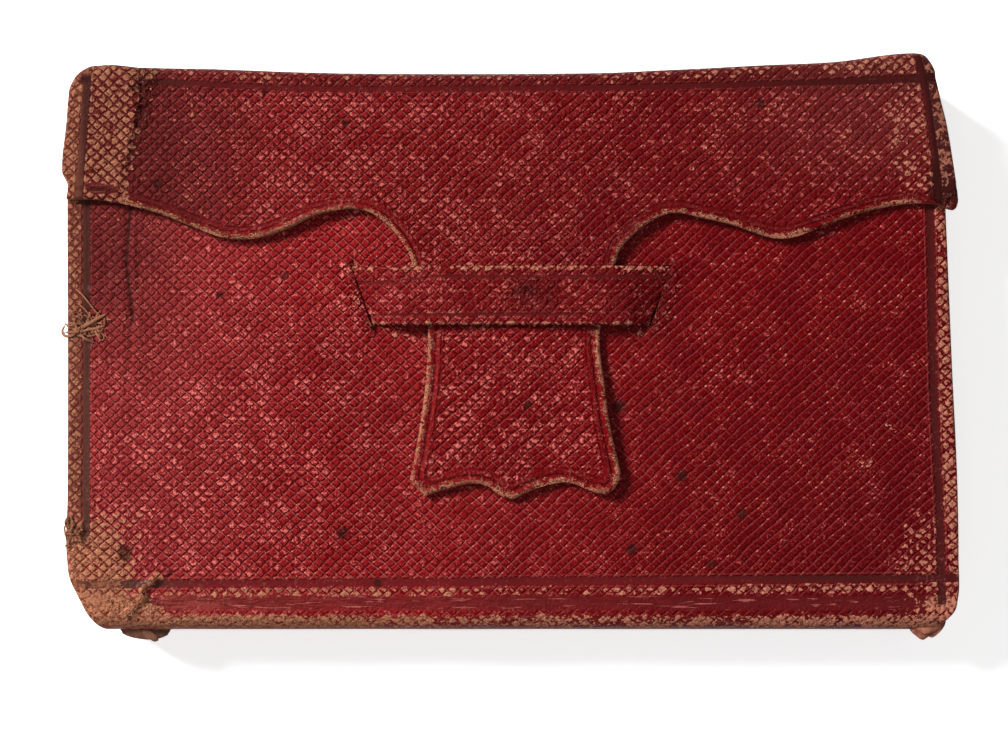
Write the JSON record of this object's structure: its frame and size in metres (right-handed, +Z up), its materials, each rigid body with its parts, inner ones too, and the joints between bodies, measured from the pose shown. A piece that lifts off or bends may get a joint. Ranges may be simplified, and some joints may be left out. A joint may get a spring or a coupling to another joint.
{
  "type": "leather pocket book with flap",
  "caption": "Wallet-bound pocket book in worn red grained leather, its wavy flap folded round the fore-edge and held by a tongue under a strap.",
  "frame": {"origin": "centre of the closed book's bounding box, at the underside of the back cover", "axes": "+X along the spine, +Y from the spine towards the fore-edge fold, +Z up through the front cover"},
  "size_m": [0.1206, 0.076, 0.0138],
  "materials": {
    "cover_leather": "worn red goatskin with a diced grain, tan at its edges",
    "flap_leather": "worn red goatskin with a diced grain, tan at its edges",
    "strap_leather": "worn red goatskin with a diced grain and ruled lines",
    "lining_leather": "thin plain lining leather",
    "board": "grey-brown pasteboard",
    "endpaper": "plain aged paper",
    "pages": "aged laid paper, cut edges",
    "liner": "glued spine lining paper",
    "cord": "twisted hemp cord"
  },
  "bodies": {
    "book": {"cover_leather": "cover_leather", "front_board": "board", "back_board": "board", "front_pastedown": "endpaper", "back_pastedown": "endpaper", "spine_liner": "liner", "text_block": "pages", "sewing_cords": "cord", "strap": "strap_leather"},
    "strip": {"fore_edge_strip": "flap_leather", "fore_edge_lining": "lining_leather"},
    "flap_body": {"flap": "flap_leather", "flap_lining": "lining_leather", "tongue": "flap_leather", "tongue_lining": "lining_leather"}
  },
  "joints": [
    {"name": "strip_fold", "type": "hinge", "parent": "book", "child": "strip", "pos_m": [0, 0.03755, 0.0005], "axis": [-1, 0, 0], "range_deg": [0, 90]},
    {"name": "flap_fold", "type": "hinge", "parent": "strip", "child": "flap_body", "pos_m": [0, 0.03755, 0.01235], "axis": [-1, 0, 0], "range_deg": [0, 90], "deforming": ["tongue", "tongue_lining"]}
  ]
}
